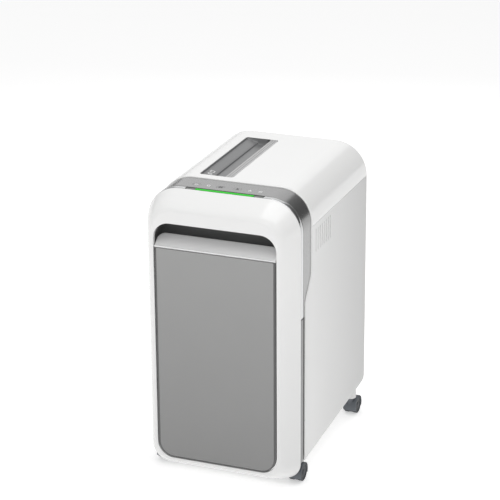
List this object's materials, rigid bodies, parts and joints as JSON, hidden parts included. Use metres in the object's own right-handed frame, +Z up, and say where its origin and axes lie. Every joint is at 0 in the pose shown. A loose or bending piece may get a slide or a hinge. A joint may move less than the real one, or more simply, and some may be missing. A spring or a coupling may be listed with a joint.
{
  "type": "paper shredder",
  "caption": "Upright office paper shredder with a top slot, a silver band with push buttons, a pull-out waste bin and swivel casters.",
  "frame": {"origin": "on the floor, under the middle of the whole shredder's box", "axes": "+Z up, front with the bin towards -Y, +X to the right when facing the front"},
  "size_m": [0.352, 0.48, 0.655],
  "materials": {
    "gloss_white": "glossy white casing",
    "satin_white": "satin light grey-white side and rear panels",
    "silver_paint": "satin silver band",
    "bright_trim": "bright edge strip",
    "panel_silver": "satin silver-grey bin panel",
    "handle_silver": "light silver bin front and handle lip",
    "recess_dark": "charcoal recess",
    "slot_grey": "light grey slot insert",
    "button_silver": "satin silver buttons",
    "lens_green": "green light window",
    "light_dark": "black light housing",
    "tub_grey": "dark grey bin tub",
    "frame_grey": "moulded inner frame",
    "tray_white": "white base tray",
    "plate_steel": "zinc-plated plate",
    "shaft_steel": "ground steel",
    "cutter_steel": "hardened steel",
    "gear_steel": "sintered steel gears",
    "gear_nylon": "nylon gears",
    "bush_bronze": "sintered bronze",
    "motor_paint": "motor housing",
    "black_plastic": "black moulded plastic",
    "board_green": "circuit board",
    "screw_steel": "blackened screws",
    "caster_grey": "slate grey caster hood",
    "wheel_grey": "slate grey wheel tread"
  },
  "bodies": {
    "case": {"top_cover": "gloss_white", "side_panel_left": "satin_white", "side_panel_right": "satin_white", "rear_panel": "satin_white", "base_tray": "tray_white", "front_shell": "gloss_white", "trim_band": "silver_paint", "edge_strip_upper": "bright_trim", "edge_strip_lower": "bright_trim", "slot_insert": "slot_grey", "light_lens": "lens_green", "light_housing": "light_dark", "recess_liner": "recess_dark", "bin_rails": "frame_grey", "head_deck": "frame_grey", "frame_plate_front": "plate_steel", "frame_plate_rear": "plate_steel", "tie_rods": "shaft_steel", "shaft_bushes": "bush_bronze", "stripper_comb_left": "frame_grey", "stripper_comb_right": "frame_grey", "throat_guides": "frame_grey", "idler_pins": "shaft_steel", "motor_can": "motor_paint", "motor_end_bell": "black_plastic", "gear_cover": "frame_grey", "control_board": "board_green", "power_board": "board_green", "interlock_switch": "black_plastic", "mains_switch_body": "black_plastic", "cable_gland": "black_plastic", "case_screws": "screw_steel"},
    "power_button_cap": {"power_button": "button_silver"},
    "reverse_button_cap": {"reverse_button": "button_silver"},
    "forward_button_cap": {"forward_button": "button_silver"},
    "bin": {"bin_front": "handle_silver", "bin_panel": "panel_silver", "bin_tub": "tub_grey"},
    "left_cutter": {"cutter_shaft_left": "shaft_steel", "cutter_discs_left": "cutter_steel", "timing_gear_left": "gear_steel"},
    "right_cutter": {"cutter_shaft_right": "shaft_steel", "cutter_discs_right": "cutter_steel", "timing_gear_right": "gear_steel", "drive_gear": "gear_steel"},
    "second_idler": {"idler_gear_second": "gear_nylon"},
    "first_idler": {"idler_gear_first": "gear_nylon"},
    "motor_rotor": {"motor_shaft": "shaft_steel", "motor_fan": "black_plastic"},
    "paper_flag": {"start_flag": "black_plastic"},
    "switch_rocker": {"mains_rocker": "black_plastic"},
    "caster_fork_fl": {"caster_hood_fl": "caster_grey"},
    "caster_roll_fl": {"caster_wheels_fl": "wheel_grey"},
    "caster_fork_fr": {"caster_hood_fr": "caster_grey"},
    "caster_roll_fr": {"caster_wheels_fr": "wheel_grey"},
    "caster_fork_rl": {"caster_hood_rl": "caster_grey"},
    "caster_roll_rl": {"caster_wheels_rl": "wheel_grey"},
    "caster_fork_rr": {"caster_hood_rr": "caster_grey"},
    "caster_roll_rr": {"caster_wheels_rr": "wheel_grey"}
  },
  "joints": [
    {"name": "power_press", "type": "slide", "parent": "case", "child": "power_button_cap", "axis": [0, 0, -1], "range_m": [0, 0.001], "stiffness_N_per_m": 600, "springref_m": -0.0004},
    {"name": "reverse_press", "type": "slide", "parent": "case", "child": "reverse_button_cap", "axis": [0, 0, -1], "range_m": [0, 0.001], "stiffness_N_per_m": 600, "springref_m": -0.0004},
    {"name": "forward_press", "type": "slide", "parent": "case", "child": "forward_button_cap", "axis": [0, 0, -1], "range_m": [0, 0.001], "stiffness_N_per_m": 600, "springref_m": -0.0004},
    {"name": "bin_slide", "type": "slide", "parent": "case", "child": "bin", "axis": [0, -1, 0], "range_m": [0, 0.4]},
    {"name": "motor_spin", "type": "hinge", "parent": "case", "child": "motor_rotor", "pos_m": [0.10584, 0.1, 0.48878], "axis": [0, 1, 0], "continuous": true},
    {"name": "first_idler_spin", "type": "hinge", "parent": "case", "child": "first_idler", "pos_m": [0.07826, 0.1, 0.51192], "axis": [0, 1, 0], "continuous": true},
    {"name": "second_idler_spin", "type": "hinge", "parent": "case", "child": "second_idler", "pos_m": [0.03262, 0.1, 0.52415], "axis": [0, 1, 0], "continuous": true},
    {"name": "right_cutter_spin", "type": "hinge", "parent": "case", "child": "right_cutter", "pos_m": [-0.02, 0.1, 0.505], "axis": [0, 1, 0], "continuous": true},
    {"name": "left_cutter_spin", "type": "hinge", "parent": "case", "child": "left_cutter", "pos_m": [-0.062, 0.1, 0.505], "axis": [0, 1, 0], "continuous": true},
    {"name": "flag_swing", "type": "hinge", "parent": "case", "child": "paper_flag", "pos_m": [-0.026, -0.0955, 0.598], "axis": [0, -1, 0], "range_deg": [0, 35], "stiffness_Nm_per_rad": 0.002, "springref_deg": -20.05},
    {"name": "mains_rock", "type": "hinge", "parent": "case", "child": "switch_rocker", "pos_m": [-0.125, 0.227, 0.545], "axis": [0, 0, -1], "range_deg": [0, 18]},
    {"name": "swivel_fl", "type": "hinge", "parent": "case", "child": "caster_fork_fl", "pos_m": [-0.156, -0.14, 0.05], "axis": [0, 0, 1], "continuous": true},
    {"name": "roll_fl", "type": "hinge", "parent": "caster_fork_fl", "child": "caster_roll_fl", "pos_m": [-0.156, -0.155, 0.02], "axis": [1, 0, 0], "continuous": true},
    {"name": "swivel_fr", "type": "hinge", "parent": "case", "child": "caster_fork_fr", "pos_m": [0.156, -0.14, 0.05], "axis": [0, 0, 1], "continuous": true},
    {"name": "roll_fr", "type": "hinge", "parent": "caster_fork_fr", "child": "caster_roll_fr", "pos_m": [0.156, -0.155, 0.02], "axis": [1, 0, 0], "continuous": true},
    {"name": "swivel_rl", "type": "hinge", "parent": "case", "child": "caster_fork_rl", "pos_m": [-0.156, 0.201, 0.05], "axis": [0, 0, 1], "continuous": true},
    {"name": "roll_rl", "type": "hinge", "parent": "caster_fork_rl", "child": "caster_roll_rl", "pos_m": [-0.156, 0.216, 0.02], "axis": [1, 0, 0], "continuous": true},
    {"name": "swivel_rr", "type": "hinge", "parent": "case", "child": "caster_fork_rr", "pos_m": [0.156, 0.201, 0.05], "axis": [0, 0, 1], "continuous": true},
    {"name": "roll_rr", "type": "hinge", "parent": "caster_fork_rr", "child": "caster_roll_rr", "pos_m": [0.156, 0.216, 0.02], "axis": [1, 0, 0], "continuous": true}
  ],
  "couplings": [
    {"joint": "first_idler_spin", "follows": "motor_spin", "ratio": -0.2},
    {"joint": "second_idler_spin", "follows": "motor_spin", "ratio": 0.057143},
    {"joint": "right_cutter_spin", "follows": "motor_spin", "ratio": -0.019048},
    {"joint": "left_cutter_spin", "follows": "motor_spin", "ratio": 0.019048}
  ]
}
